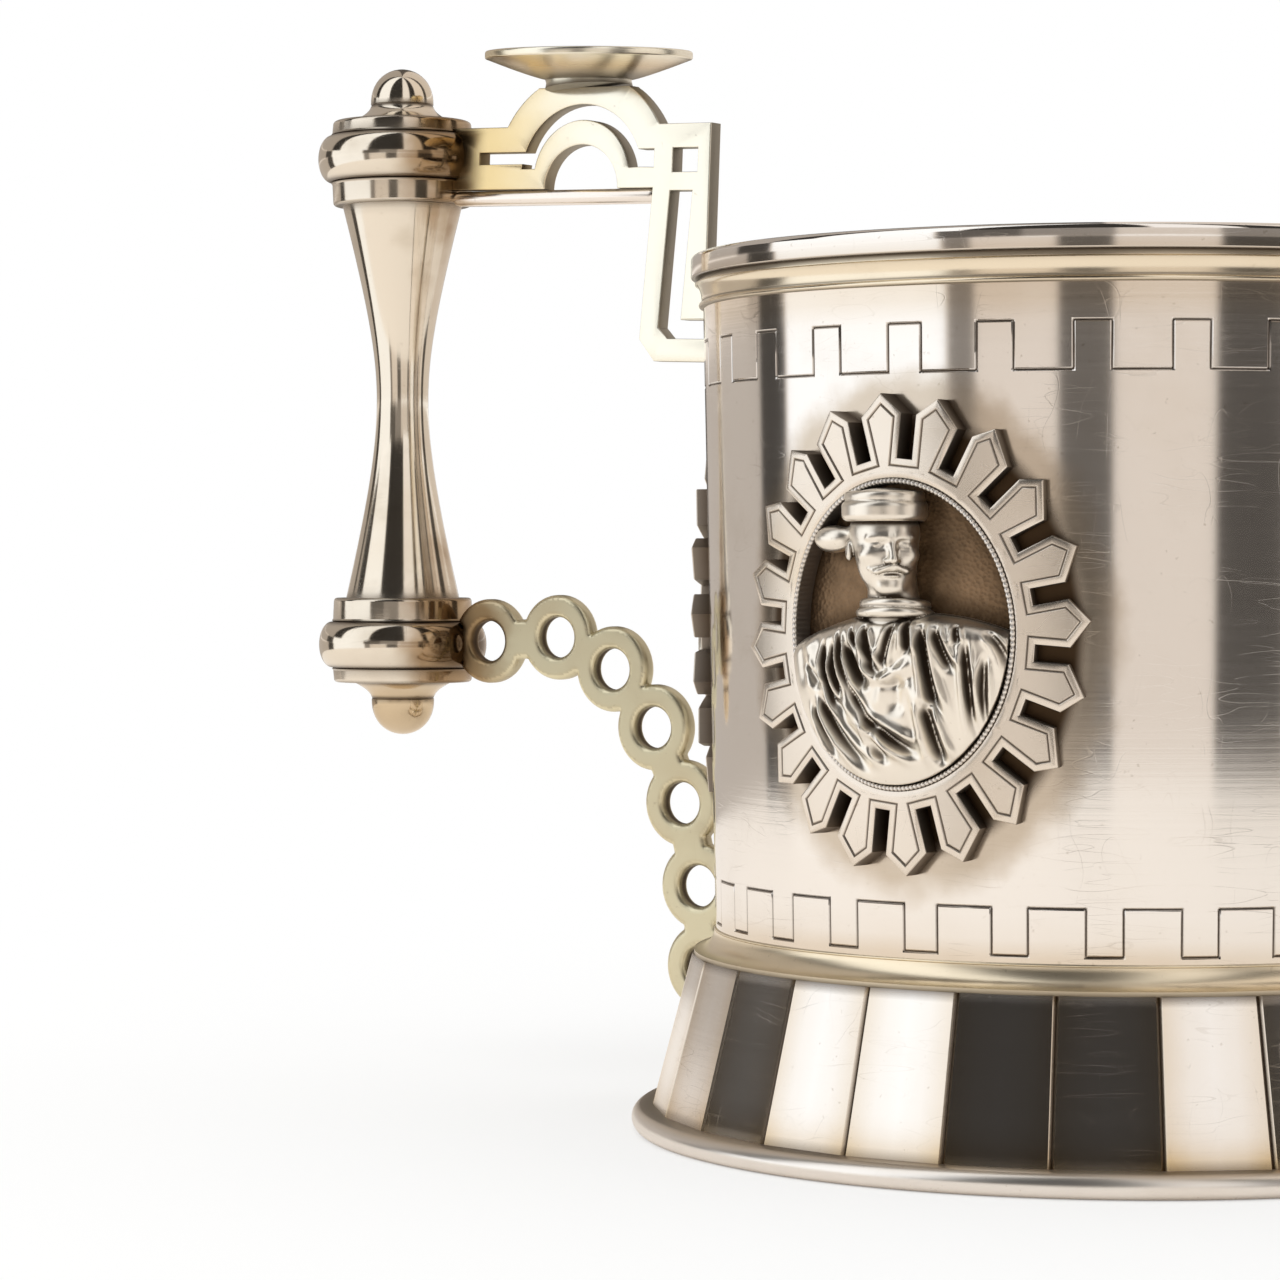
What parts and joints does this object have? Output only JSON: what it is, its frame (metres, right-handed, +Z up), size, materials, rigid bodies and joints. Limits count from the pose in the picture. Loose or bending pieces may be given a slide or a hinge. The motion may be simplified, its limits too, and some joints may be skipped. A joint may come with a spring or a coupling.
{
  "type": "tea glass holder",
  "caption": "Round metal holder for a tea glass, with a panelled foot, oval sunburst medallions and a turned upright grip carried by a pierced bracket and a curve of rings.",
  "frame": {"origin": "on the cup's axis, on the floor plate's upper face that the glass stands on", "axes": "+Z up along the cup's axis, +X from the axis towards the handle, +Y towards the front medallion"},
  "size_m": [0.1302, 0.085, 0.1017],
  "materials": {
    "silver": "polished silver, finely scratched, warm",
    "gilt": "polished gilt silver, worn",
    "pale_gilt": "satin pale gilt",
    "old_gilt": "matte old gilt",
    "dark_silver": "matte darkened silver"
  },
  "bodies": {
    "root": {"floor_plate": "silver", "cup_shell": "silver", "rim_band": "silver", "rim_moulding": "gilt", "foot_moulding": "gilt", "foot_skirt": "silver", "foot_ring": "silver", "upper_bracket": "pale_gilt", "bracket_tie_bar": "pale_gilt", "thumb_rest_neck": "pale_gilt", "thumb_rest_dish": "pale_gilt", "lower_bracket": "old_gilt", "grip_rod": "silver", "grip_baluster": "gilt", "top_inner_ring": "gilt", "top_bead": "gilt", "top_outer_ring": "gilt", "top_finial": "gilt", "bottom_inner_ring": "gilt", "bottom_bead": "gilt", "bottom_outer_ring": "gilt", "bottom_finial": "gilt", "front_medallion_rays": "silver", "front_medallion_bezel": "silver", "front_medallion_field": "dark_silver", "front_medallion_bust": "silver", "back_medallion_rays": "silver", "back_medallion_bezel": "silver", "back_medallion_field": "dark_silver", "back_medallion_bust": "silver", "far_medallion_rays": "silver", "far_medallion_bezel": "silver", "far_medallion_field": "dark_silver", "far_medallion_bust": "silver", "handle_medallion_rays": "silver", "handle_medallion_bezel": "silver", "handle_medallion_field": "dark_silver", "handle_medallion_bust": "silver"}
  },
  "joints": []
}
